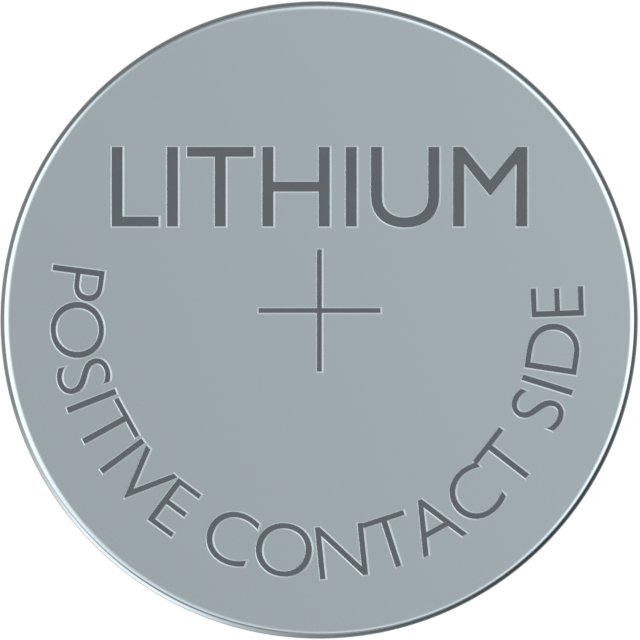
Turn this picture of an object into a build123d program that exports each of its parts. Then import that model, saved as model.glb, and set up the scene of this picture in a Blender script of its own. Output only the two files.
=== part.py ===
from build123d import *
import math
import os

# One-third-height N cell: a wound lithium manganese dioxide cell in a crimped steel can.
# All sizes are in millimetres. The origin is the centre of the negative contact face,
# and +Z runs along the cell's axis to the positive end face.

# Overall size
cell_diameter = 11.6
cell_height = 10.8
contact_step = 0.25  # how far the negative contact stands proud of the crimped rim

# Positive can: a drawn cup with an ironed mouth, crimped inwards at its rim
can_base = 0.32
can_wall = 0.32
can_edge_radius = 0.28
can_inner_radius = 0.12
mouth_wall = 0.20
mouth_depth = 1.95  # from the rim's lowest line to the ledge that carries the gasket
crimp_radius = 0.90
crimp_flat = 0.20
rim_gap = 0.25  # the ring of gasket that shows between the rim's cut edge and the cap

# Negative cap: a drawn, stepped lid whose skirt is folded back on itself
cap_sheet = 0.20
cap_edge_radius = 0.35
cap_neck_fillet = 0.12
cap_shoulder_radius = 0.25
hem_gap = 0.03
hem_end_gap = 0.05

# Sealing gasket: a moulded ring of J section, squeezed between the can and the cap
gasket_wall = 0.24
gasket_lip_depth = 0.50
seal_fit = 0.01

# Roll: cathode sheet, lithium foil and two separator films, wound on a mandrel
cathode_thickness = 0.40
anode_thickness = 0.14
separator_thickness = 0.04
winding_gap = 0.015
mandrel_radius = 1.25
roll_clearance = 0.07
electrode_inset = 0.30  # the separators overhang both electrodes by this much

# Where each strip of the roll starts and how far it stops short of the roll's end, in degrees
anode_start = 60
outer_separator_start = 45
inner_separator_start = 125
cathode_start = 110
anode_short = 60
cathode_short = 15

# Leads: flat strips welded to the electrodes and bent over at the end they feed
lead_thickness = 0.10
lead_bend_radius = 0.10
lead_weld_length = 3.0
cathode_lead_width = 2.0
cathode_lead_tongue = 3.5
anode_lead_width = 1.2
anode_lead_tongue = 3.4
lead_fit = 0.01

# Insulator discs at both ends of the roll
insulator_thickness = 0.15
insulator_clearance = 0.05
lead_clearance = 0.08

# Radii and levels that follow from the sizes above
can_radius = cell_diameter / 2
mouth_radius = can_radius - mouth_wall
bore_radius = can_radius - can_wall
base_z = cell_height - can_base
rim_z = contact_step
ledge_z = rim_z + mouth_depth
crimp_centre = (can_radius - crimp_radius, rim_z + crimp_radius)

cap_radius = crimp_centre[0] - crimp_flat - rim_gap
hem_radius = mouth_radius - gasket_wall - 2 * seal_fit
skirt_radius = hem_radius - cap_sheet - hem_gap
shoulder_z = rim_z + mouth_wall + gasket_wall + 2 * seal_fit
foot_z = ledge_z - seal_fit - gasket_wall
hem_turn_z = foot_z - seal_fit - cap_sheet - hem_gap / 2

lower_insulator_z = ledge_z - seal_fit
roll_bottom_z = lower_insulator_z + insulator_thickness
upper_insulator_z = base_z - lead_thickness - lead_fit - insulator_thickness
roll_top_z = upper_insulator_z

# The strips lie outwards in this order, each level measured from the inside of its turn
inner_separator_level = 0
anode_level = inner_separator_level + separator_thickness + winding_gap
outer_separator_level = anode_level + anode_thickness + winding_gap
cathode_level = outer_separator_level + separator_thickness + winding_gap
pitch = cathode_level + cathode_thickness + winding_gap

# The spiral is half circles about two centres, half a pitch apart, so that every strip keeps
# its thickness. It ends on a half turn, and its centres are shifted to centre the whole roll.
even_centre = Vector(0, -pitch / 4)
odd_centre = Vector(pitch / 2, -pitch / 4)
winding_room = bore_radius - roll_clearance - odd_centre.length + winding_gap
full_turns = int((winding_room - mandrel_radius) / pitch)
core_radius = winding_room - full_turns * pitch - pitch / 2
roll_end = 360 * full_turns + 180


def spiral_arc(half_turn, level, start, stop):
    """One half circle of the winding at a level, or the part of it between two roll angles."""
    centre = odd_centre if half_turn % 2 else even_centre
    first = max(start, 180 * half_turn)
    last = min(stop, 180 * (half_turn + 1))
    return CenterArc(centre, core_radius + half_turn * pitch / 2 + level, first, last - first)


def wound_strip(level, thickness, start, stop, bottom, top):
    """A strip wound into the roll from one angle to another, standing between two heights."""
    half_turns = range(start // 180, math.ceil(stop / 180))
    with BuildPart() as strip:
        with BuildSketch(Plane.XY.offset(bottom)):
            with BuildLine():
                inner = [spiral_arc(turn, level, start, stop) for turn in half_turns]
                outer = [spiral_arc(turn, level + thickness, start, stop) for turn in half_turns]
                Line(inner[0] @ 0, outer[0] @ 0)
                Line(inner[-1] @ 1, outer[-1] @ 1)
            make_face()
        extrude(amount=top - bottom)
    return strip.part


def bend_reach(radius, width):
    """How far from a turn's centre a lead's bend begins, at the edges of the curved lead."""
    return math.sqrt((radius - lead_thickness - lead_bend_radius) ** 2 - (width / 2) ** 2)


def bent_lead(centre, side, radius, width, foot, tip, tongue):
    """A lead curved to fit a turn of the roll, bent over into a flat tongue at its foot.

    centre is the turn's centre, side is +1 or -1 for the +Y or -Y side of the roll, radius is
    the band's outer radius, foot is the level of the tongue's outer face, tip is the height
    where the band ends, and tongue is how far the tongue reaches in from the band.
    """
    upright = Plane((centre.X, centre.Y, 0), x_dir=(0, side, 0), z_dir=(side, 0, 0))
    rise = 1 if tip > foot else -1
    inwards = (Align.CENTER, Align.MAX if side > 0 else Align.MIN)
    bend_start = bend_reach(radius, width)
    tongue_end = radius - tongue + width / 2
    mid_radius = radius - lead_thickness / 2
    mid_foot = foot + rise * lead_thickness / 2
    with BuildPart() as lead:
        with BuildSketch(upright):
            with BuildLine():
                FilletPolyline(
                    (0, mid_foot), (mid_radius, mid_foot), (mid_radius, tip),
                    radius=lead_bend_radius + lead_thickness / 2,
                )
            trace(line_width=lead_thickness)
        revolve(axis=Axis((centre.X, centre.Y, 0), (0, 0, 1)))
        with BuildSketch(Plane.XY.offset(min(foot, tip))):
            with Locations((centre.X, centre.Y + side * radius)):
                Rectangle(width, radius - bend_start, align=inwards)
        extrude(amount=abs(tip - foot), mode=Mode.INTERSECT)
        with BuildSketch(Plane.XY.offset(foot)):
            with Locations((centre.X, centre.Y + side * bend_start)):
                Rectangle(width, bend_start - tongue_end, align=inwards)
            with Locations((centre.X, centre.Y + side * tongue_end)):
                Circle(width / 2)
        extrude(amount=rise * lead_thickness)
    return lead.part


# Positive can
with BuildPart() as positive_can:
    with BuildSketch(Plane.XZ):
        with BuildLine():
            FilletPolyline(
                (0, cell_height), (can_radius, cell_height), (can_radius, crimp_centre[1]),
                radius=can_edge_radius,
            )
            outer_crimp = CenterArc(crimp_centre, crimp_radius, 0, -90)
            inner_crimp = CenterArc(crimp_centre, crimp_radius - mouth_wall, 0, -90)
            outer_flat = Line(outer_crimp @ 1, outer_crimp @ 1 - (crimp_flat, 0))
            inner_flat = Line(inner_crimp @ 1, inner_crimp @ 1 - (crimp_flat, 0))
            Line(outer_flat @ 1, inner_flat @ 1)
            FilletPolyline(
                inner_crimp @ 0, (mouth_radius, ledge_z), (bore_radius, ledge_z),
                (bore_radius, base_z), (0, base_z), radius=(0, 0, can_inner_radius),
            )
            Line((0, base_z), (0, cell_height))
        make_face()
    revolve(axis=Axis.Z)

# Negative cap: contact face, neck and shoulder, then the skirt with its folded-back hem
with BuildPart() as negative_cap:
    with BuildSketch(Plane.XZ):
        with BuildLine():
            half_sheet = cap_sheet / 2
            neck_radius = cap_radius - half_sheet
            lid = FilletPolyline(
                (0, half_sheet), (neck_radius, half_sheet), (neck_radius, shoulder_z + half_sheet),
                (skirt_radius - half_sheet, shoulder_z + half_sheet),
                (skirt_radius - half_sheet, hem_turn_z),
                radius=(
                    cap_edge_radius - half_sheet, cap_neck_fillet + half_sheet,
                    cap_shoulder_radius - half_sheet,
                ),
            )
            hem_turn = JernArc(lid @ 1, (0, 1), half_sheet + hem_gap / 2, -180)
            Line(hem_turn @ 1, (hem_radius - half_sheet, crimp_centre[1] + hem_end_gap))
        trace(line_width=cap_sheet)
    revolve(axis=Axis.Z)

# Sealing gasket: from its inner lip round the hem, down the can's mouth and under the crimp
with BuildPart() as sealing_gasket:
    with BuildSketch(Plane.XZ):
        with BuildLine():
            half_wall = gasket_wall / 2
            lip_radius = skirt_radius - cap_sheet - seal_fit - half_wall
            wall_radius = mouth_radius - seal_fit - half_wall
            FilletPolyline(
                (lip_radius, foot_z - gasket_lip_depth), (lip_radius, foot_z + half_wall),
                (wall_radius, foot_z + half_wall), (wall_radius, shoulder_z - seal_fit - half_wall),
                (cap_radius + cap_neck_fillet, shoulder_z - seal_fit - half_wall),
                radius=(0, 0, crimp_radius - mouth_wall - seal_fit - half_wall),
            )
        trace(line_width=gasket_wall)
    revolve(axis=Axis.Z)

# The wound strips
electrode_bottom_z = roll_bottom_z + electrode_inset
electrode_top_z = roll_top_z - electrode_inset

cathode_sheet = wound_strip(
    cathode_level, cathode_thickness, cathode_start, roll_end - cathode_short,
    electrode_bottom_z, electrode_top_z,
)
anode_foil = wound_strip(
    anode_level, anode_thickness, anode_start, roll_end - anode_short,
    electrode_bottom_z, electrode_top_z,
)
inner_separator = wound_strip(
    inner_separator_level, separator_thickness, inner_separator_start, roll_end,
    roll_bottom_z, roll_top_z,
)
outer_separator = wound_strip(
    outer_separator_level, separator_thickness, outer_separator_start, roll_end,
    roll_bottom_z, roll_top_z,
)

# Leads: the cathode's lies on the outside of its last full turn, the anode's inside its first
cathode_turn_radius = core_radius + full_turns * pitch - pitch / 2 + cathode_level + cathode_thickness
cathode_lead_radius = cathode_turn_radius + lead_fit + lead_thickness
anode_lead_radius = core_radius + anode_level - lead_fit
cathode_tab = bent_lead(
    odd_centre, -1, cathode_lead_radius, cathode_lead_width, base_z,
    electrode_top_z - lead_weld_length, cathode_lead_tongue,
)
anode_tab = bent_lead(
    even_centre, 1, anode_lead_radius, anode_lead_width, cap_sheet,
    electrode_bottom_z + lead_weld_length, anode_lead_tongue,
)

# Upper insulator disc, notched at its edge where the cathode's lead passes
with BuildPart() as upper_insulator:
    with BuildSketch(Plane.XY.offset(upper_insulator_z)):
        Circle(bore_radius - insulator_clearance)
        notch_start = lead_clearance - bend_reach(cathode_lead_radius, cathode_lead_width)
        with Locations((odd_centre.X, odd_centre.Y + notch_start)):
            Rectangle(
                cathode_lead_width + 2 * lead_clearance, can_radius,
                align=(Align.CENTER, Align.MAX), mode=Mode.SUBTRACT,
            )
    extrude(amount=insulator_thickness)

# Lower insulator disc, holed at its centre for the anode's lead
with BuildPart() as lower_insulator:
    with BuildSketch(Plane.XY.offset(lower_insulator_z)):
        Circle(bore_radius - insulator_clearance)
        Circle(core_radius + lead_clearance, mode=Mode.SUBTRACT)
    extrude(amount=insulator_thickness)

pieces = {
    "positive_can": positive_can.part,
    "negative_cap": negative_cap.part,
    "sealing_gasket": sealing_gasket.part,
    "cathode_sheet": cathode_sheet,
    "anode_foil": anode_foil,
    "inner_separator": inner_separator,
    "outer_separator": outer_separator,
    "cathode_tab": cathode_tab,
    "anode_tab": anode_tab,
    "upper_insulator": upper_insulator.part,
    "lower_insulator": lower_insulator.part,
}

os.makedirs("parts", exist_ok=True)
for name, piece in pieces.items():
    piece.label = name
    export_step(piece, f"parts/{name}.step")
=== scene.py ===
"""Studio scene of a short cylindrical lithium cell, seen from above its positive end face.

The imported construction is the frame. The can, the cap and the gasket are turned again here with
finer surfaces, the can's face gets its recessed marks, and every other piece gets its finish.
"""
import logging
import math
from collections.abc import Callable, Sequence
from dataclasses import dataclass, field
from enum import Enum

import bpy
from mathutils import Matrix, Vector


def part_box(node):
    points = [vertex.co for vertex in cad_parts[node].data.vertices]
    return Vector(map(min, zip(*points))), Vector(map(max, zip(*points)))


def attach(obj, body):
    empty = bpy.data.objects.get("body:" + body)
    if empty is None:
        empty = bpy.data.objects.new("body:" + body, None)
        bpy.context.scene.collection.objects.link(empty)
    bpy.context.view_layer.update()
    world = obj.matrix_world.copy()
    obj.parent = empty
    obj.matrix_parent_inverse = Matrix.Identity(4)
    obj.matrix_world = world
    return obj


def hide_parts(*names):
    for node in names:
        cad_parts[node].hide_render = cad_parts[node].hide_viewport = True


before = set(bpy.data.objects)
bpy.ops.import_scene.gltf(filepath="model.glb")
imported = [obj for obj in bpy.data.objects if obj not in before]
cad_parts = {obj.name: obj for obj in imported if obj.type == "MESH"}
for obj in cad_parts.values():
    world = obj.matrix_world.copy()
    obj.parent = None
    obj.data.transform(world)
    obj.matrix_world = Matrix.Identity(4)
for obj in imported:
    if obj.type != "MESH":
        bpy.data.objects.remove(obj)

log = logging.getLogger("cell")

MM = 0.001  # a millimetre in the scene's metres: pieces are shaped in millimetres, then scaled
MERGE_DISTANCE = 0.0005  # millimetres
SMOOTH_ANGLE = math.radians(25)
ROUND_PROFILE = 0.5  # a bevel's profile that is part of a circle
FULL_TURN = 360  # degrees
CLOUD_RANGE = (0.3, 0.7)  # the tones of a cloud pattern's dark and bright clouds
CLOUD_DETAIL = 4  # finer octaves
GRAIN_DETAIL = 3  # finer octaves
LINE_STRETCH = 0.03  # the width of a grain line as a share of its length
PAINTED_LIGHT_AZIMUTH = 23  # degrees anticlockwise from +X: the side towards which the steel's colour is painted lighter, painted light as if more light fell from that side
BODY = "root"

Piece = bpy.types.Object
Socket = bpy.types.NodeSocket
# What a node's input takes: a number, a colour or a vector, or another node's output
Value = float | Sequence[float] | Socket


class Operation(Enum):
    """What a tool's shape does to the piece in hand."""

    CUT = "DIFFERENCE"
    TRIM = "INTERSECT"


class Grain(Enum):
    """The direction in which a tool left its lines on a surface."""

    EVEN = "the same every way"
    AXIAL = "lines along the cell's axis"
    RINGS = "rings about the cell's axis"


class Bench:
    """The hand tools that the sub-assemblies share. They work in millimetres."""

    @staticmethod
    def select(*pieces: Piece) -> None:
        """Selects these pieces alone and makes the first one active.

        Args:
            pieces: The pieces to select.
        """
        bpy.ops.object.select_all(action="DESELECT")
        for piece in pieces:
            piece.select_set(True)
        bpy.context.view_layer.objects.active = pieces[0]

    @staticmethod
    def clear_picks(kind: str) -> None:
        """Turns to picking vertices or faces in edit mode, and picks nothing.

        Args:
            kind: VERT or FACE.
        """
        bpy.ops.object.mode_set(mode="EDIT")
        bpy.ops.mesh.select_mode(type=kind)
        bpy.ops.mesh.select_all(action="DESELECT")
        bpy.ops.object.mode_set(mode="OBJECT")

    @staticmethod
    def pick_vertices(piece: Piece, chosen: Callable[[Vector], bool]) -> None:
        """Selects the vertices that pass a test, and leaves edit mode on for the next tool.

        Args:
            piece: The piece in hand.
            chosen: Says whether the vertex at a place is selected.
        """
        Bench.clear_picks("VERT")
        for vertex in piece.data.vertices:
            vertex.select = chosen(vertex.co)
        bpy.ops.object.mode_set(mode="EDIT")

    @staticmethod
    def pick_faces(piece: Piece, chosen: Callable[[bpy.types.MeshPolygon], bool]) -> None:
        """Selects the faces that pass a test, and leaves edit mode on for the next tool.

        Args:
            piece: The piece in hand.
            chosen: Says whether a face is selected.
        """
        Bench.clear_picks("FACE")
        for face in piece.data.polygons:
            face.select = chosen(face)
        bpy.ops.object.mode_set(mode="EDIT")

    @staticmethod
    def combine(piece: Piece, tool: Piece, operation: Operation, tangled: bool = False) -> None:
        """Combines one piece with a tool's shape and throws the tool away.

        Args:
            piece: The piece in hand.
            tool: The closed shape that it is combined with.
            operation: What the tool does to it.
            tangled: Whether the piece's own faces may cross.
        """
        Bench.select(piece)
        modifier = piece.modifiers.new("combine", "BOOLEAN")
        modifier.object = tool
        modifier.operation = operation.value
        modifier.solver = "EXACT"
        modifier.use_self = tangled
        bpy.ops.object.modifier_apply(modifier=modifier.name)
        bpy.data.objects.remove(tool)


class Shader:
    """The node tree of a material or of the world, put together one node at a time."""

    def __init__(self, owner: bpy.types.Material | bpy.types.World) -> None:
        """Starts on an empty tree.

        Args:
            owner: The material or the world.
        """
        owner.use_nodes = True
        self.owner = owner
        self.tree = owner.node_tree
        self.tree.nodes.clear()

    def add(self, kind: str, **settings: str) -> bpy.types.Node:
        """Adds a node.

        Args:
            kind: The node's type.
            settings: The node's own settings.

        Returns:
            The new node.
        """
        node = self.tree.nodes.new(kind)
        for name, value in settings.items():
            setattr(node, name, value)
        return node

    def join(self, socket: Socket, value: Value) -> None:
        """Gives one input its value, or joins it to another node's output.

        Args:
            socket: The input.
            value: What it takes.
        """
        if isinstance(value, Socket):
            self.tree.links.new(value, socket)
        else:
            socket.default_value = value

    def feed(self, node: bpy.types.Node, **values: Value) -> None:
        """Gives a node's inputs what they take.

        Args:
            node: The node that is fed.
            values: What each input takes, by the input's name, with _ for a space.
        """
        for name, value in values.items():
            self.join(node.inputs[name.replace("_", " ")], value)

    def apply(self, kind: str, *values: Value, **settings: str) -> Socket:
        """Adds a node that takes its values in the order of its inputs.

        Args:
            kind: The node's type.
            values: What its inputs take.
            settings: The node's own settings.

        Returns:
            The node's output.
        """
        node = self.add(kind, **settings)
        for socket, value in zip([each for each in node.inputs if each.enabled], values):
            self.join(socket, value)
        return next(each for each in node.outputs if each.enabled)

    def math(self, operation: str, *numbers: Value) -> Socket:
        """Does one sum with a Math node."""
        return self.apply("ShaderNodeMath", *numbers, operation=operation)

    def noise(self, place: Socket, size: float, detail: float) -> Socket:
        """Adds a cloud pattern.

        Args:
            place: The coordinates that the pattern follows, in metres.
            size: The size of its largest clouds, in millimetres.
            detail: How many finer octaves it has.

        Returns:
            The pattern's output, about 0.5 on average.
        """
        node = self.add("ShaderNodeTexNoise")
        self.feed(node, Vector=place, Scale=1 / (size * MM), Detail=detail)
        return node.outputs["Fac"]

    def spread(self, pattern: Socket, low: float, high: float) -> Socket:
        """Spreads the middle of a cloud pattern over a range.

        Args:
            pattern: The pattern's output.
            low: The value in its dark clouds.
            high: The value in its bright clouds.

        Returns:
            The spread pattern's output.
        """
        dark, bright = CLOUD_RANGE
        node = self.add("ShaderNodeMapRange")
        self.feed(node, Value=pattern, From_Min=dark, From_Max=bright, To_Min=low, To_Max=high)
        return node.outputs["Result"]

    def step(self, value: Value, start: Value, end: Value) -> Socket:
        """Rises smoothly from 0 to 1 between two values.

        Args:
            value: What the step follows.
            start: Where the step starts.
            end: Where it ends, which may be lower than where it starts.

        Returns:
            The step's output.
        """
        node = self.add("ShaderNodeMapRange", interpolation_type="SMOOTHSTEP")
        self.feed(node, Value=value, From_Min=start, From_Max=end)
        return node.outputs["Result"]

    def close(
        self, surface: Socket, output: str = "ShaderNodeOutputMaterial",
    ) -> bpy.types.Material | bpy.types.World:
        """Joins the last shader to the output.

        Args:
            surface: The shader that shows.
            output: The type of the output node.

        Returns:
            The finished material or world.
        """
        self.feed(self.add(output), Surface=surface)
        return self.owner


@dataclass(frozen=True)
class Finish:
    """A surface finish: its colour and gloss, its fine grain and its broad cloudiness.

    Attributes:
        name: The material's name.
        color: The base colour, in linear light.
        metallic: 1 for bare metal and 0 for plastic or powder.
        roughness: The gloss, from 0 for a mirror to 1 for chalk.
        grain: The direction of the fine grain.
        grain_size: The width of the grain's lines or pits, in millimetres.
        grain_height: The grain's relief, in millimetres.
        grain_tone: How far the grain lightens and darkens the colour, as a share of it.
        cloud_size: The size of the broad clouds in tone and gloss, in millimetres.
        cloud_tone: How far the clouds lighten and darken the colour, as a share of it.
        cloud_gloss: How far the clouds raise and lower the roughness.
        painted_side_light: How far the tone is painted lighter towards one side of the cell, as a
            share of it: painted light, as if more light fell from that side.
        glow: How deep light travels under the surface, in millimetres.
    """

    name: str
    color: tuple[float, float, float]
    metallic: float = 1.0
    roughness: float = 0.35
    grain: Grain = Grain.EVEN
    grain_size: float = 0.05
    grain_height: float = 0.0005
    grain_tone: float = 0.02
    cloud_size: float = 2.0
    cloud_tone: float = 0.02
    cloud_gloss: float = 0.03
    painted_side_light: float = 0.0
    glow: float = 0.0

    def material(self) -> bpy.types.Material:
        """Builds the finish as a procedural material.

        Returns:
            The material.
        """
        shader = Shader(bpy.data.materials.new(self.name))
        place = shader.add("ShaderNodeTexCoord").outputs["Object"]
        grain = shader.noise(self.along_grain(shader, place), self.grain_size, GRAIN_DETAIL)
        cloud = shader.noise(place, self.cloud_size, CLOUD_DETAIL)
        tone = shader.math(
            "ADD",
            shader.spread(grain, -self.grain_tone, self.grain_tone),
            shader.spread(cloud, -self.cloud_tone, self.cloud_tone),
        )
        # painted light: the tone is painted lighter towards one side of the cell, as if more light
        # fell from there
        if self.painted_side_light:
            tone = shader.math("ADD", tone, self.paint_side_light(shader, place))
        reach = self.grain_tone + self.cloud_tone + self.painted_side_light
        share = shader.add("ShaderNodeMapRange")
        shader.feed(share, Value=tone, From_Min=-reach, From_Max=reach)
        dark = [channel * (1 - reach) for channel in self.color] + [1]
        light = [channel * (1 + reach) for channel in self.color] + [1]
        gloss: Value = self.roughness
        if self.cloud_gloss:
            gloss = shader.spread(cloud, gloss - self.cloud_gloss, gloss + self.cloud_gloss)
        bump = shader.add("ShaderNodeBump")
        shader.feed(bump, Height=grain, Strength=1.0, Distance=self.grain_height * MM)
        surface = shader.add("ShaderNodeBsdfPrincipled")
        color = shader.apply(
            "ShaderNodeMix", share.outputs["Result"], dark, light, data_type="RGBA",
        )
        shader.feed(
            surface, Base_Color=color, Metallic=self.metallic, Roughness=gloss,
            Normal=bump.outputs["Normal"],
        )
        if self.glow:
            shader.feed(
                surface, Subsurface_Weight=1.0, Subsurface_Radius=(self.glow * MM,) * 3,
                Subsurface_Scale=1.0,
            )
        return shader.close(surface.outputs["BSDF"])

    def paint_side_light(self, shader: Shader, place: Socket) -> Socket:
        """Works out how much the painted light lightens the tone at a place, rising towards one
        side.

        Args:
            shader: The material in hand.
            place: The piece's own coordinates.

        Returns:
            The change of tone, as an output.
        """
        slope = self.painted_side_light / (Size.radius("positive_can") * MM)
        turn = math.radians(PAINTED_LIGHT_AZIMUTH)
        across = (slope * math.cos(turn), slope * math.sin(turn), 0)
        return shader.apply("ShaderNodeVectorMath", place, across, operation="DOT_PRODUCT")

    def along_grain(self, shader: Shader, place: Socket) -> Socket:
        """Draws the coordinates out along the grain, so that a cloud pattern turns to lines.

        Args:
            shader: The material in hand.
            place: The piece's own coordinates.

        Returns:
            The drawn-out coordinates.
        """
        if self.grain is Grain.EVEN:
            return place
        if self.grain is Grain.AXIAL:
            mapping = shader.add("ShaderNodeMapping")
            shader.feed(mapping, Vector=place, Scale=(1, 1, LINE_STRETCH))
            return mapping.outputs["Vector"]
        axes = shader.add("ShaderNodeSeparateXYZ")
        shader.feed(axes, Vector=place)
        square = shader.math(
            "ADD",
            shader.math("POWER", axes.outputs["X"], 2.0),
            shader.math("POWER", axes.outputs["Y"], 2.0),
        )
        rings = shader.add("ShaderNodeCombineXYZ")
        shader.feed(rings, X=shader.math("SQRT", square), Z=axes.outputs["Z"])
        return rings.outputs["Vector"]


# The face and the edge carry painted light: their colour is painted lighter towards one side of the
# cell.
FACE = Finish(
    "face_satin_steel", (0.349, 0.401, 0.424), roughness=0.34, grain_size=0.04, grain_tone=0.01,
    cloud_size=4.0, cloud_tone=0.004, cloud_gloss=0.01, painted_side_light=0.06,
)
EDGE = Finish(
    "edge_burnished_steel", (0.349, 0.401, 0.423), roughness=0.12, grain=Grain.RINGS,
    grain_size=0.02, grain_height=0.0001, grain_tone=0.01, cloud_tone=0.005, painted_side_light=0.06,
)
WALL = Finish(
    "wall_drawn_steel", (0.375, 0.405, 0.42), roughness=0.3, grain=Grain.AXIAL, grain_size=0.16,
    grain_height=0.0006, grain_tone=0.03, cloud_size=5.0, cloud_tone=0.01, cloud_gloss=0.0,
)
CRIMP = Finish(
    "crimp_rolled_steel", (0.375, 0.405, 0.42), roughness=0.26, grain=Grain.RINGS,
    grain_size=0.12, grain_height=0.0005, grain_tone=0.03, cloud_tone=0.01, cloud_gloss=0.0,
)
MARK_FLOOR = Finish(
    "mark_floor", (0.098, 0.114, 0.124), metallic=0.4, roughness=0.6, grain_size=0.02,
    grain_height=0.001, grain_tone=0.06, cloud_size=0.6, cloud_tone=0.05,
)
MARK_WALL = Finish("mark_wall", (0.35, 0.395, 0.41), roughness=0.3, grain_size=0.02)
CAP = Finish(
    "cap_nickel_plate", (0.5, 0.5, 0.48), roughness=0.26, grain=Grain.RINGS, grain_size=0.14,
    grain_height=0.0003, grain_tone=0.02, cloud_tone=0.01, cloud_gloss=0.0,
)
GASKET = Finish(
    "gasket_polymer", (0.72, 0.73, 0.7), metallic=0.0, roughness=0.42, grain_size=0.08,
    cloud_tone=0.03, glow=0.3,
)
CATHODE = Finish(
    "cathode_powder", (0.022, 0.022, 0.024), metallic=0.0, roughness=0.85, grain_size=0.03,
    grain_height=0.006, grain_tone=0.35, cloud_size=0.5, cloud_tone=0.15,
)
LITHIUM = Finish(
    "lithium_foil", (0.56, 0.55, 0.53), roughness=0.38, grain_size=0.15, grain_height=0.001,
    grain_tone=0.06, cloud_size=0.8, cloud_tone=0.12,
)
SEPARATOR = Finish(
    "separator_film", (0.8, 0.8, 0.78), metallic=0.0, roughness=0.5, grain=Grain.AXIAL,
    grain_size=0.04, grain_height=0.0005, glow=0.1,
)
LEAD_STEEL = Finish(
    "lead_rolled_steel", (0.42, 0.43, 0.43), roughness=0.3, grain=Grain.AXIAL, grain_size=0.03,
    grain_tone=0.05,
)
LEAD_NICKEL = Finish(
    "lead_rolled_nickel", (0.52, 0.49, 0.43), roughness=0.3, grain=Grain.AXIAL, grain_size=0.03,
    grain_tone=0.05,
)
INSULATOR = Finish(
    "insulator_sheet", (0.5, 0.56, 0.58), metallic=0.0, roughness=0.35, grain_size=0.2,
    glow=0.15,
)


class Size:
    """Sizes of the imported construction, in millimetres."""

    @staticmethod
    def radius(node: str) -> float:
        """The largest radius of a round node."""
        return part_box(node)[1].x / MM

    @staticmethod
    def bottom(node: str) -> float:
        """The lowest height of a node."""
        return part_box(node)[0].z / MM

    @staticmethod
    def top(node: str) -> float:
        """The greatest height of a node."""
        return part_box(node)[1].z / MM


@dataclass(frozen=True)
class Corner:
    """One corner of a turned piece's outline, in millimetres.

    Attributes:
        radius: Distance from the cell's axis.
        height: Height above the negative contact face.
        rounding: Radius of the arc that rounds the corner, or 0 where it is sharp.
        facets: How many straight facets the arc has.
    """

    radius: float
    height: float
    rounding: float = 0
    facets: int = 1


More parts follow.
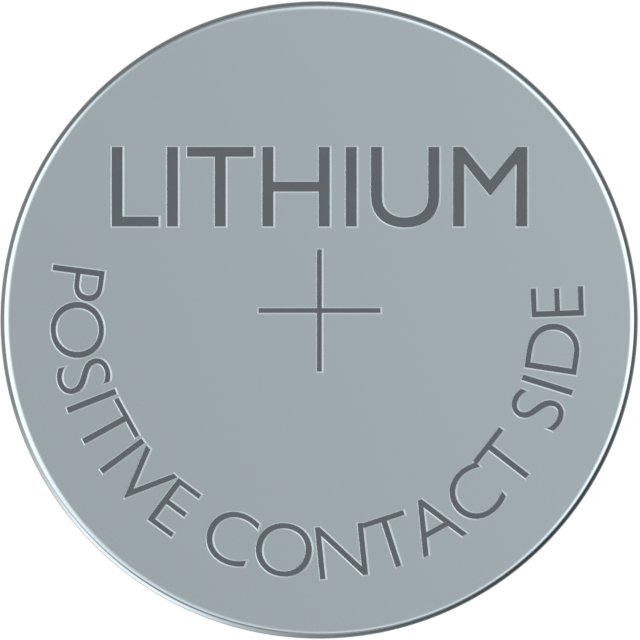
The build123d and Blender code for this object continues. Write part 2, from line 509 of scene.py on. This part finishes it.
@dataclass
class Turned:
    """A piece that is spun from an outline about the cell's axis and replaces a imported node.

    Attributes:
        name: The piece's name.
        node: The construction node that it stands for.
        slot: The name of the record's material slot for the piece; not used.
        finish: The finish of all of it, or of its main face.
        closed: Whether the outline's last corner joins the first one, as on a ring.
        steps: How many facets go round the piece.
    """

    name: str
    node: str
    slot: str
    finish: Finish
    closed: bool = False
    steps: int = 256

    def corners(self) -> list[Corner]:
        """Lists the outline's corners in order, which each kind of piece does for itself."""
        raise NotImplementedError

    def build(self) -> Piece:
        """Turns the piece, works on it, dresses it and puts it in its node's place.

        Returns:
            The finished piece, in metres.
        """
        piece = self.turn()
        self.work(piece)
        self.dress(piece)
        Bench.select(piece)  # then from millimetres to metres, in its mesh
        bpy.ops.transform.resize(value=(MM, MM, MM), center_override=(0, 0, 0))
        bpy.ops.object.transform_apply(location=True, rotation=True, scale=True)
        bpy.ops.object.shade_smooth_by_angle(angle=SMOOTH_ANGLE, keep_sharp_edges=True)
        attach(piece, BODY)
        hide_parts(self.node)
        log.info("%s: %d faces", piece.name, len(piece.data.polygons))
        return piece

    def work(self, piece: Piece) -> None:
        """Adds what turning can't make, on a piece that has such a thing."""

    def dress(self, piece: Piece) -> None:
        """Gives the piece its finish."""
        piece.data.materials.append(self.finish.material())

    def turn(self) -> Piece:
        """Draws the outline, rounds its corners and spins it.

        Returns:
            The turned piece, in millimetres.
        """
        corners = self.corners()
        piece = self.draw(corners)
        for corner in corners:
            if corner.rounding:
                self.round_off(piece, corner)
        bpy.ops.object.mode_set(mode="EDIT")
        bpy.ops.mesh.select_all(action="SELECT")
        bpy.ops.mesh.spin(steps=self.steps, angle=math.tau, center=(0, 0, 0), axis=(0, 0, 1))
        bpy.ops.mesh.select_all(action="SELECT")
        bpy.ops.mesh.remove_doubles(threshold=MERGE_DISTANCE)
        bpy.ops.mesh.normals_make_consistent(inside=False)
        bpy.ops.object.mode_set(mode="OBJECT")
        return piece

    def draw(self, corners: list[Corner]) -> Piece:
        """Draws the sharp outline in the XZ plane, one corner after another.

        Args:
            corners: The outline's corners, in order.

        Returns:
            The outline, as a chain of edges.
        """
        bpy.ops.object.select_all(action="DESELECT")
        bpy.ops.mesh.primitive_plane_add(size=1, location=(0, 0, 0))
        piece = bpy.context.object
        piece.name = piece.data.name = self.name
        bpy.ops.object.mode_set(mode="EDIT")
        bpy.ops.mesh.select_mode(type="VERT")
        bpy.ops.mesh.select_all(action="SELECT")
        bpy.ops.mesh.merge(type="CENTER")
        bpy.ops.transform.translate(value=(corners[0].radius, 0, corners[0].height))
        for start, end in zip(corners, corners[1:]):
            step = (end.radius - start.radius, 0, end.height - start.height)
            bpy.ops.mesh.extrude_region_move(TRANSFORM_OT_translate={"value": step})
        if self.closed:
            ends = (corners[0], corners[-1])
            Bench.pick_vertices(piece, lambda place: any(self.is_at(place, end) for end in ends))
            bpy.ops.mesh.edge_face_add()
        bpy.ops.object.mode_set(mode="OBJECT")
        return piece

    def round_off(self, piece: Piece, corner: Corner) -> None:
        """Rounds one corner of the outline with an arc.

        Args:
            piece: The outline.
            corner: The corner to round.
        """
        Bench.pick_vertices(piece, lambda place: self.is_at(place, corner))
        bpy.ops.mesh.bevel(
            offset=corner.rounding, segments=corner.facets, profile=ROUND_PROFILE,
            affect="VERTICES", clamp_overlap=False,
        )
        bpy.ops.object.mode_set(mode="OBJECT")

    @staticmethod
    def is_at(place: Vector, corner: Corner) -> bool:
        """Whether a vertex lies at a corner of the outline."""
        return (place - Vector((corner.radius, 0, corner.height))).length < MERGE_DISTANCE


@dataclass
class FaceMarks:
    """The recessed marks in the can's end face: a word, a plus sign and words on an arc.

    Attributes:
        face_height: Height of the face that the marks are sunk in.
        depth: How deep the marks are.
        wall_width: How far their walls slope out from their floor to the face.
        clearance: How far over the face the cutters' sloping walls run on.
        curve_steps: How many straight pieces each curve of a letter has.
        font_cap_height: The height of the font's capitals, as a share of its size.
        word: The large word.
        word_centre: Where the middle of the word's ink lies.
        word_cap_height: Height of its capitals.
        word_thinning: How much its strokes are thinned on each side, as a share of its size.
        word_spacing: Its letters' spacing, as a share of the font's own.
        arc_words: The words on the arc.
        arc_centre: The arc's centre.
        arc_radius: Radius of the arc's base line, outside the letters.
        arc_start: Where the arc's base line starts, in degrees.
        circle_start: Where a circle that runs anticlockwise starts, in degrees.
        arc_cap_height: Height of the arc's capitals.
        arc_thinning: How much its strokes are thinned on each side, as a share of its size.
        arc_spacing: The letters' spacing, as a share of the font's own.
        plus_centre: The middle of the plus sign.
        plus_span: The length of its bars.
        plus_width: The width of its bars.
        lean: How far the marks' floor lies off to the side of their mouth, as the stamp leaned.
        room: The size of the block that trims a cutter, in radii of the arc and in depths.
    """

    face_height: float
    depth: float = 0.016
    wall_width: float = 0.026
    clearance: float = 0.004
    curve_steps: int = 8
    font_cap_height: float = 0.682
    word: str = "LITHIUM"
    word_centre: tuple[float, float] = (0.018, 2.403)
    word_cap_height: float = 1.425
    word_thinning: float = 0.006
    word_spacing: float = 0.96
    arc_words: str = "POSITIVE CONTACT SIDE"
    arc_centre: tuple[float, float] = (-0.033, 0.133)
    arc_radius: float = 4.877
    arc_start: float = 168.3
    circle_start: float = 180.0
    arc_cap_height: float = 0.925
    arc_thinning: float = 0.019
    arc_spacing: float = 1.032
    plus_centre: tuple[float, float] = (0.018, 0.169)
    plus_span: float = 2.21
    plus_width: float = 0.083
    lean: tuple[float, float] = (-0.012, 0.003)
    room: float = 4.0

    def sink_into(self, can: Piece) -> None:
        """Cuts every mark into the face.

        Args:
            can: The can, in millimetres.
        """
        Bench.combine(can, self.word_cutter(), Operation.CUT)
        Bench.combine(can, self.arc_cutter(), Operation.CUT)
        for length, width in (
            (self.plus_span, self.plus_width), (self.plus_width, self.plus_span),
        ):
            Bench.combine(can, self.bar_cutter(length, width), Operation.CUT)

    def lettering(self, words: str, cap_height: float, thinning: float) -> Piece:
        """Writes words as a solid with sloping walls, its narrow side at the marks' floor.

        Args:
            words: The words.
            cap_height: The height of their capitals, in millimetres.
            thinning: How much the strokes are thinned on each side, as a share of the size.

        Returns:
            The text, still editable.
        """
        bpy.ops.object.select_all(action="DESELECT")
        bpy.ops.object.text_add(location=(0, 0, self.face_height + self.clearance))
        lettering = bpy.context.object
        text = lettering.data
        text.body = words
        text.size = cap_height / (self.font_cap_height - 2 * thinning)
        text.offset = -thinning
        text.bevel_depth = self.wall_width * (1 + self.clearance / self.depth)
        text.bevel_resolution = 0
        text.resolution_u = self.curve_steps
        return lettering

    def to_cutter(self, lettering: Piece) -> Piece:
        """Turns text into a closed mesh.

        Args:
            lettering: The text.

        Returns:
            The closed mesh.
        """
        Bench.select(lettering)
        bpy.ops.object.convert(target="MESH")
        bpy.ops.object.mode_set(mode="EDIT")
        bpy.ops.mesh.select_all(action="SELECT")
        bpy.ops.mesh.remove_doubles(threshold=MERGE_DISTANCE)
        bpy.ops.mesh.normals_make_consistent(inside=False)
        flatter = (1, 1, self.depth / self.wall_width)
        middle = (0, 0, self.face_height + self.clearance)
        bpy.ops.transform.resize(value=flatter, center_override=middle)
        bpy.ops.object.mode_set(mode="OBJECT")
        return lettering

    def settle(self, cutter: Piece) -> Piece:
        """Puts a cutter's place in its mesh, trims its walls where they cross, and leans it.

        Args:
            cutter: The cutter, at its place.

        Returns:
            The finished cutter.
        """
        Bench.select(cutter)
        bpy.ops.object.transform_apply(location=True, rotation=True, scale=True)
        bpy.ops.object.select_all(action="DESELECT")
        bpy.ops.mesh.primitive_cube_add(size=1, location=(0, 0, self.face_height))
        block = bpy.context.object
        width = self.room * self.arc_radius
        block.scale = (width, width, self.room * self.depth)
        Bench.combine(cutter, block, Operation.TRIM, tangled=True)
        floor = self.face_height - self.depth
        Bench.pick_vertices(cutter, lambda place: place.z < floor + MERGE_DISTANCE)
        bpy.ops.transform.translate(value=(*self.lean, 0))
        bpy.ops.object.mode_set(mode="OBJECT")
        return cutter

    def word_cutter(self) -> Piece:
        """Makes the cutter of the large word, centred on its place.

        Returns:
            The cutter.
        """
        lettering = self.lettering(self.word, self.word_cap_height, self.word_thinning)
        lettering.data.space_character = self.word_spacing
        cutter = self.to_cutter(lettering)
        across = [vertex.co.x for vertex in cutter.data.vertices]
        up = [vertex.co.y for vertex in cutter.data.vertices]
        cutter.location.x = self.word_centre[0] - (min(across) + max(across)) / 2
        cutter.location.y = self.word_centre[1] - (min(up) + max(up)) / 2
        return self.settle(cutter)

    def arc_cutter(self) -> Piece:
        """Makes the cutter of the words on the arc.

        Returns:
            The cutter.
        """
        bpy.ops.object.select_all(action="DESELECT")
        bpy.ops.curve.primitive_bezier_circle_add(radius=self.arc_radius, location=(0, 0, 0))
        circle = bpy.context.object
        bpy.ops.object.mode_set(mode="EDIT")
        bpy.ops.curve.select_all(action="SELECT")
        bpy.ops.curve.switch_direction()
        bpy.ops.object.mode_set(mode="OBJECT")
        lettering = self.lettering(self.arc_words, self.arc_cap_height, self.arc_thinning)
        lettering.data.space_character = self.arc_spacing
        lettering.data.follow_curve = circle
        cutter = self.to_cutter(lettering)
        bpy.data.objects.remove(circle)
        cutter.location.x, cutter.location.y = self.arc_centre
        cutter.rotation_euler.z = math.radians(self.arc_start - self.circle_start)
        return self.settle(cutter)

    def bar_cutter(self, length: float, width: float) -> Piece:
        """Makes the cutter of one bar of the plus sign.

        Args:
            length: The bar's size along X.
            width: The bar's size along Y.

        Returns:
            The cutter.
        """
        height = self.depth + self.clearance
        middle = (*self.plus_centre, self.face_height - self.depth + height / 2)
        bpy.ops.object.select_all(action="DESELECT")
        bpy.ops.mesh.primitive_cube_add(size=1, location=middle, scale=(length, width, height))
        bar = bpy.context.object
        Bench.pick_faces(bar, lambda face: face.center.z > MERGE_DISTANCE)  # its top alone
        spread = 2 * height * self.wall_width / self.depth
        slope = (1 + spread / length, 1 + spread / width, 1)
        bpy.ops.transform.resize(value=slope, center_override=middle)
        bpy.ops.object.mode_set(mode="OBJECT")
        return self.settle(bar)


@dataclass
class PositiveCan(Turned):
    """The drawn can: end face, wall and crimped rim.

    Attributes:
        base: Thickness of the end face.
        wall: Thickness of the wall round the roll.
        edge_radius: Radius of the edge between the face and the wall.
        inner_radius: Radius inside that edge.
        mouth_wall: Thickness of the ironed mouth.
        mouth_depth: From the rim's lowest line to the ledge under the gasket.
        crimp_radius: Outer radius of the crimp.
        crimp_flat: How far the rim runs on, flat, past the crimp.
        rim_burr: Radius of the rim's cut edges.
        border: Width of the level border that keeps the rounded edges' shading off flat faces.
        radius: The can's radius, as packed.
        top: Height of the end face, as packed.
        rim: Height of the rim's lowest line, as packed.
        marks: The marks in the end face.
    """

    name: str = "can"
    node: str = "positive_can"
    slot: str = "can_steel"
    finish: Finish = FACE
    base: float = 0.32
    wall: float = 0.32
    edge_radius: float = 0.28
    inner_radius: float = 0.12
    mouth_wall: float = 0.20
    mouth_depth: float = 1.95
    crimp_radius: float = 0.90
    crimp_flat: float = 0.20
    rim_burr: float = 0.03
    border: float = 0.03
    radius: float = field(init=False)
    top: float = field(init=False)
    rim: float = field(init=False)
    marks: FaceMarks = field(init=False)

    def __post_init__(self) -> None:
        """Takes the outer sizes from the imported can."""
        self.radius = Size.radius(self.node)
        self.top = Size.top(self.node)
        self.rim = Size.bottom(self.node)
        self.marks = FaceMarks(self.top)

    def corners(self) -> list[Corner]:
        """Lists the outline's corners, from the middle of the face round to the bore.

        Returns:
            The corners, in order.
        """
        mouth = self.radius - self.mouth_wall
        bore = self.radius - self.wall
        lip = self.radius - self.crimp_radius - self.crimp_flat
        lip_top = self.rim + self.mouth_wall
        ledge = self.rim + self.mouth_depth
        floor = self.top - self.base
        return [
            Corner(0, self.top),
            Corner(self.radius - self.edge_radius - self.border, self.top),
            Corner(self.radius, self.top, self.edge_radius, 14),
            Corner(self.radius, self.top - self.edge_radius - self.border),
            Corner(self.radius, self.rim + self.crimp_radius + self.border),
            Corner(self.radius, self.rim, self.crimp_radius, 20),
            Corner(lip, self.rim, self.rim_burr, 5),
            Corner(lip, lip_top, self.rim_burr, 5),
            Corner(mouth, lip_top, self.crimp_radius - self.mouth_wall, 12),
            Corner(mouth, ledge),
            Corner(bore, ledge),
            Corner(bore, floor, self.inner_radius, 4),
            Corner(0, floor),
        ]

    def work(self, piece: Piece) -> None:
        """Joins the facets of the flat face into one, and sinks the marks in it.

        Args:
            piece: The turned can.
        """
        flat = self.radius - self.edge_radius - self.border
        Bench.pick_faces(
            piece,
            lambda face: face.center.z > self.top - MERGE_DISTANCE
            and face.center.xy.length < flat - self.border,
        )
        bpy.ops.mesh.dissolve_faces()
        bpy.ops.object.mode_set(mode="OBJECT")
        self.marks.sink_into(piece)

    def dress(self, piece: Piece) -> None:
        """Gives each region of the can its finish, with a sharp line round the flat ones.

        Args:
            piece: The can, in millimetres.
        """
        finishes = (self.finish, EDGE, WALL, CRIMP, MARK_FLOOR, MARK_WALL)
        for finish in finishes:
            piece.data.materials.append(finish.material())
        for face in piece.data.polygons:
            face.material_index = finishes.index(self.finish_at(face))
        for finish in (self.finish, MARK_FLOOR):
            index = finishes.index(finish)
            Bench.pick_faces(piece, lambda face: face.material_index == index)
            bpy.ops.mesh.region_to_loop()
            bpy.ops.mesh.mark_sharp()
            bpy.ops.object.mode_set(mode="OBJECT")

    def finish_at(self, face: bpy.types.MeshPolygon) -> Finish:
        """Tells which finish a face has, by its place.

        Args:
            face: The face.

        Returns:
            The face's finish.
        """
        depth = self.top - face.center.z
        flat = self.radius - self.edge_radius
        if depth < MERGE_DISTANCE:
            return self.finish
        if face.center.xy.length < flat and depth < 2 * self.marks.depth:
            return MARK_FLOOR if depth > self.marks.depth - MERGE_DISTANCE else MARK_WALL
        if face.center.xy.length > flat and depth < self.edge_radius:
            return EDGE
        if face.center.z < self.rim + self.crimp_radius:
            return CRIMP
        return WALL


@dataclass
class NegativeCap(Turned):
    """The drawn cap: contact face, neck, shoulder and skirt, with its hem folded back outside.

    Attributes:
        sheet: Thickness of the sheet.
        edge_radius: Radius of the contact face's edge.
        neck_fillet: Outer radius between the neck and the shoulder.
        shoulder_radius: Outer radius between the shoulder and the skirt.
        shoulder: Height of the shoulder's underside.
        hem_gap: The gap inside the folded hem.
        hem_tip: Height at which the folded sheet ends.
        neck: Radius of the contact face with its rounded edge.
    """

    name: str = "cap"
    node: str = "negative_cap"
    slot: str = "cap_steel"
    finish: Finish = CAP
    sheet: float = 0.20
    edge_radius: float = 0.35
    neck_fillet: float = 0.12
    shoulder_radius: float = 0.25
    shoulder: float = 0.71
    hem_gap: float = 0.03
    hem_tip: float = 1.20
    neck: float = 4.45

    def corners(self) -> list[Corner]:
        """Lists the outline's corners, from the middle of the contact face round to its inside.

        Returns:
            The corners, in order.
        """
        hem = Size.radius(self.node)
        turn = Size.top(self.node)
        skirt = hem - self.sheet - self.hem_gap
        half_gap = self.hem_gap / 2
        bend = self.sheet + half_gap
        inner_skirt = skirt - self.sheet
        inner_shoulder = self.shoulder + self.sheet
        inner_neck = self.neck - self.sheet
        return [
            Corner(0, 0),
            Corner(self.neck, 0, self.edge_radius, 16),
            Corner(self.neck, self.shoulder, self.neck_fillet, 6),
            Corner(skirt, self.shoulder, self.shoulder_radius, 8),
            Corner(skirt, turn - self.sheet, half_gap, 4),
            Corner(skirt + self.hem_gap, turn - self.sheet, half_gap, 4),
            Corner(skirt + self.hem_gap, self.hem_tip),
            Corner(hem, self.hem_tip),
            Corner(hem, turn, bend, 8),
            Corner(inner_skirt, turn, bend, 8),
            Corner(inner_skirt, inner_shoulder, self.shoulder_radius - self.sheet, 4),
            Corner(inner_neck, inner_shoulder, self.neck_fillet + self.sheet, 6),
            Corner(inner_neck, self.sheet, self.edge_radius - self.sheet, 6),
            Corner(0, self.sheet),
        ]


@dataclass
class SealingGasket(Turned):
    """The moulded ring that seals the cap in the can's mouth and shows as a ring between them.

    Attributes:
        wall: Thickness of the ring's sheet.
        inner_lip: Radius inside the lip that stands inside the cap's skirt.
        lip_rise: How far that lip stands up past the ring's foot.
        crimp_radius: Outer radius where the ring follows the crimp.
        mouth: Radius inside the ring where it shows, round the cap's neck.
    """

    name: str = "gasket"
    node: str = "sealing_gasket"
    slot: str = "gasket_plastic"
    finish: Finish = GASKET
    closed: bool = True
    wall: float = 0.24
    inner_lip: float = 4.66
    lip_rise: float = 0.50
    crimp_radius: float = 0.69
    mouth: float = 4.57

    def corners(self) -> list[Corner]:
        """Lists the ring's closed outline.

        Returns:
            The corners, in order.
        """
        outer = Size.radius(self.node)
        inner = outer - self.wall
        under_crimp = Size.bottom(self.node)
        foot = Size.top(self.node)
        lip = foot - self.wall - self.lip_rise
        return [
            Corner(self.inner_lip, lip),
            Corner(self.inner_lip, foot),
            Corner(outer, foot),
            Corner(outer, under_crimp, self.crimp_radius, 12),
            Corner(self.mouth, under_crimp),
            Corner(self.mouth, under_crimp + self.wall),
            Corner(inner, under_crimp + self.wall, self.crimp_radius - self.wall, 10),
            Corner(inner, foot - self.wall),
            Corner(self.inner_lip + self.wall, foot - self.wall),
            Corner(self.inner_lip + self.wall, lip),
        ]


@dataclass(frozen=True)
class Inside:
    """The wound roll, its leads and its insulator discs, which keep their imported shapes.

    Attributes:
        finishes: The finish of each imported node.
    """

    finishes: dict[str, Finish] = field(default_factory=lambda: {
        "cathode_sheet": CATHODE,
        "anode_foil": LITHIUM,
        "inner_separator": SEPARATOR,
        "outer_separator": SEPARATOR,
        "cathode_tab": LEAD_STEEL,
        "anode_tab": LEAD_NICKEL,
        "upper_insulator": INSULATOR,
        "lower_insulator": INSULATOR,
    })

    def dress(self) -> None:
        """Gives each piece its finish."""
        for name, finish in self.finishes.items():
            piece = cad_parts[name]
            piece.data.materials.clear()
            piece.data.materials.append(finish.material())
            log.info("%s: %s", name, finish.name)


@dataclass(frozen=True)
class Sweep:
    """A number that changes round the cell's axis.

    Attributes:
        stops: Pairs of an azimuth in degrees, anticlockwise from +X, and the number there.
    """

    stops: tuple[tuple[float, float], ...]

    def at(self, shader: Shader, azimuth: Socket) -> Socket:
        """Works out the number at an azimuth.

        Args:
            shader: The material in hand.
            azimuth: The azimuth as an output, in turns from 0 to 1.

        Returns:
            The number as an output.
        """
        levels = [level for _, level in self.stops]
        least, span = min(levels), max(levels) - min(levels)
        ramp = shader.add("ShaderNodeValToRGB")
        elements = ramp.color_ramp.elements
        elements.remove(elements[-1])
        for turn, _ in self.stops[1:]:
            elements.new(turn / FULL_TURN)
        for element, level in zip(elements, levels):
            element.color = ((level - least) / span,) * 3 + (1,)
        shader.feed(ramp, Fac=azimuth)
        return shader.math("MULTIPLY_ADD", ramp.outputs["Color"], span, least)

    @staticmethod
    def azimuth(shader: Shader, axes: bpy.types.Node) -> Socket:
        """Works out the azimuth of a place or a direction.

        Args:
            shader: The material in hand.
            axes: The node that gives its three numbers.

        Returns:
            The azimuth as an output, in turns from 0 to 1.
        """
        angle = shader.math("ARCTAN2", axes.outputs["Y"], axes.outputs["X"])
        return shader.math("FRACT", shader.math("MULTIPLY_ADD", angle, 1 / math.tau, 1.0))


@dataclass(frozen=True)
class SoftLight:
    """The soft light towards one azimuth, over the plain white surroundings.

    Attributes:
        azimuth: In degrees anticlockwise from +X.
        added: How much brighter it is than the surroundings.
        low: Height of its lower edge over the horizon, in degrees.
        high: Height of its upper edge, in degrees.
    """

    azimuth: float
    added: float
    low: float
    high: float


SOFT_LIGHTS = tuple(SoftLight(*row) for row in (  # azimuth, added, low, high
    (0, 1.8, -4, 44), (30, 1.7, 3, 43), (60, 1.45, 10, 42), (90, 0.95, 11, 44),
    (105, 0.4, 10, 44), (120, 0.03, 8, 36), (135, 0.9, 4, 34), (150, 1.8, -1, 41),
    (180, 1.9, -4, 50), (200, 1.9, -4, 50), (225, 1.15, 7, 47), (240, 0.95, 15, 47),
    (265, 0.55, 14, 41), (285, 0.85, 8, 33), (300, 1.2, 7, 28), (330, 1.65, 5, 36),
    (360, 1.8, -4, 44),
))

# What the polished edge sees of the table round the cell: dark, with one bright place
TABLE_TONES = Sweep((
    (0, 0.26), (30, 0.25), (60, 0.28), (90, 0.36), (120, 0.38), (150, 0.4), (175, 0.58),
    (195, 0.58), (210, 1.5), (222, 2.5), (242, 2.4), (255, 1.3), (268, 0.55), (285, 0.23),
    (300, 0.14), (315, 0.09), (330, 0.11), (345, 0.19), (360, 0.26),
))


@dataclass
class Studio:
    """The floor, the card on it, the soft light and the camera over the cell.

    Attributes:
        view_width: The width that the picture covers at the can's widest outline.
        view_offset: Where the picture's middle stands from the cell's axis.
        lens: The camera's focal length, in millimetres on its sensor.
        sensor: The sensor's width, in millimetres.
        floor_size: The floor's width.
        floor_tone: The floor's colour.
        floor_glow: The share of the floor's look that is plain white, apart from shadows.
        floor_white: That white's brightness, which makes up for what the rest lacks.
        light_fade: How far below its upper edge the soft light is full, in degrees.
        light_feather: How soft its lower edge is to either side, in degrees.
        light_foot: How much darker than the surroundings it is below that edge.
        card_radius: The card's radius.
        card_sides: How many sides its outline has.
        card_lift: How far the card lies over the floor.
        near_reach: The distances from the axis over which the card's tone turns from the
            evened one of its middle to its own.
        near_share: How much of the card's own tone is left in its middle.
        near_tone: The tone that is added to that.
    """

    view_width: float = 11.65
    view_offset: tuple[float, float] = (0.0165, 0.0)
    lens: float = 180.0
    sensor: float = 36.0
    floor_size: float = 2000.0
    floor_tone: float = 0.9
    floor_glow: float = 0.75
    floor_white: float = 1.1
    light_fade: float = 24.0
    light_feather: float = 4.0
    light_foot: float = 0.42
    card_radius: float = 160.0
    card_sides: int = 64
    card_lift: float = 0.02
    near_reach: tuple[float, float] = (15.0, 22.0)
    near_share: float = 0.37
    near_tone: float = 0.3

    def build(self, outline_height: float) -> None:
        """Sets the whole stage.

        Args:
            outline_height: Height of the can's widest outline, in millimetres.
        """
        self.hang_camera(outline_height)
        self.light_surroundings()
        self.lay_floor()
        self.lay_card()

    def hang_camera(self, outline_height: float) -> None:
        """Hangs the camera over the face, looking straight down.

        Args:
            outline_height: Height of the can's widest outline, in millimetres.
        """
        distance = self.view_width * self.lens / self.sensor
        place = Vector((*self.view_offset, outline_height + distance)) * MM
        bpy.ops.object.camera_add(location=place, rotation=(0, 0, 0))
        camera = bpy.context.object
        camera.data.lens = self.lens
        camera.data.sensor_width = self.sensor
        camera.data.clip_start = MM
        camera.data.clip_end = self.floor_size * MM
        bpy.context.scene.camera = camera

    def light_surroundings(self) -> None:
        """Fills the surroundings with white, and adds the soft light that glossy surfaces see."""
        world = bpy.data.worlds.new("studio")
        bpy.context.scene.world = world
        shader = Shader(world)
        direction = shader.add("ShaderNodeSeparateXYZ")
        shader.feed(direction, Vector=shader.add("ShaderNodeTexCoord").outputs["Generated"])
        azimuth = Sweep.azimuth(shader, direction)
        height = shader.math("DEGREES", shader.math("ARCSINE", direction.outputs["Z"]))
        added, low, high = (
            Sweep(tuple((light.azimuth, getattr(light, number)) for light in SOFT_LIGHTS))
            .at(shader, azimuth)
            for number in ("added", "low", "high")
        )
        over = shader.step(
            height, shader.math("SUBTRACT", low, self.light_feather),
            shader.math("ADD", low, self.light_feather),
        )
        under = shader.step(height, high, shader.math("SUBTRACT", high, self.light_fade))
        soft = shader.math("MULTIPLY", added, under)
        soft = shader.math("ADD", soft, self.light_foot)
        soft = shader.math("MULTIPLY_ADD", soft, over, -self.light_foot)
        glossy = shader.add("ShaderNodeLightPath").outputs["Is Glossy Ray"]
        background = shader.add("ShaderNodeBackground")
        shader.feed(
            background, Color=(1, 1, 1, 1), Strength=shader.math("MULTIPLY_ADD", soft, glossy, 1.0),
        )
        shader.close(background.outputs["Background"], "ShaderNodeOutputWorld")

    def lay_floor(self) -> None:
        """Lays the pale floor, which shows white with the cell's shadow and is clear from below."""
        bpy.ops.object.select_all(action="DESELECT")
        bpy.ops.mesh.primitive_plane_add(size=self.floor_size * MM, location=(0, 0, 0))
        floor = bpy.context.object
        floor.name = "floor"
        floor.visible_diffuse = False
        shader = Shader(bpy.data.materials.new("floor_pale"))
        diffuse = shader.add("ShaderNodeBsdfDiffuse")
        shader.feed(diffuse, Color=(self.floor_tone,) * 3 + (1,))
        white = shader.add("ShaderNodeEmission")
        shader.feed(white, Color=(1, 1, 1, 1), Strength=self.floor_white)
        rays = shader.add("ShaderNodeLightPath")
        seen = shader.math(
            "MAXIMUM", rays.outputs["Is Camera Ray"], rays.outputs["Is Glossy Ray"],
        )
        seen = shader.math("MAXIMUM", seen, rays.outputs["Is Transmission Ray"])
        glow = shader.math("MULTIPLY", seen, self.floor_glow)
        lit = shader.apply(
            "ShaderNodeMixShader", glow, diffuse.outputs["BSDF"], white.outputs["Emission"],
        )
        clear = shader.add("ShaderNodeBsdfTransparent").outputs["BSDF"]
        underside = shader.add("ShaderNodeNewGeometry").outputs["Backfacing"]
        floor.data.materials.append(
            shader.close(shader.apply("ShaderNodeMixShader", underside, lit, clear))
        )

    def lay_card(self) -> None:
        """Lays the round card, darker than the floor, which only glossy surfaces see."""
        bpy.ops.object.select_all(action="DESELECT")
        bpy.ops.mesh.primitive_circle_add(
            radius=self.card_radius * MM, fill_type="NGON", vertices=self.card_sides,
            location=(0, 0, self.card_lift * MM),
        )
        card = bpy.context.object
        card.name = "table_card"
        shader = Shader(bpy.data.materials.new("card_tones"))
        place = shader.add("ShaderNodeTexCoord").outputs["Object"]
        axes = shader.add("ShaderNodeSeparateXYZ")
        shader.feed(axes, Vector=place)
        tone = TABLE_TONES.at(shader, Sweep.azimuth(shader, axes))
        reach = shader.apply("ShaderNodeVectorMath", place, operation="LENGTH")
        near, far = self.near_reach
        outer = shader.step(reach, near * MM, far * MM)
        evened = shader.math("MULTIPLY_ADD", tone, self.near_share, self.near_tone)
        shown = shader.apply("ShaderNodeMix", outer, evened, tone, data_type="FLOAT")
        emission = shader.add("ShaderNodeEmission")
        shader.feed(emission, Strength=shown)
        card.data.materials.append(shader.close(emission.outputs["Emission"]))
        card.visible_camera = False
        card.visible_diffuse = False
        card.visible_shadow = False
        card.visible_transmission = False


def main() -> None:
    """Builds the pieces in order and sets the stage."""
    logging.basicConfig(level=logging.INFO, format="%(name)s: %(message)s")
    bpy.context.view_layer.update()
    can = PositiveCan()
    can.build()
    NegativeCap().build()
    SealingGasket().build()
    Inside().dress()
    Studio().build(can.top - can.edge_radius)
    bpy.context.scene.view_settings.view_transform = "Standard"


if __name__ == "__main__":
    main()
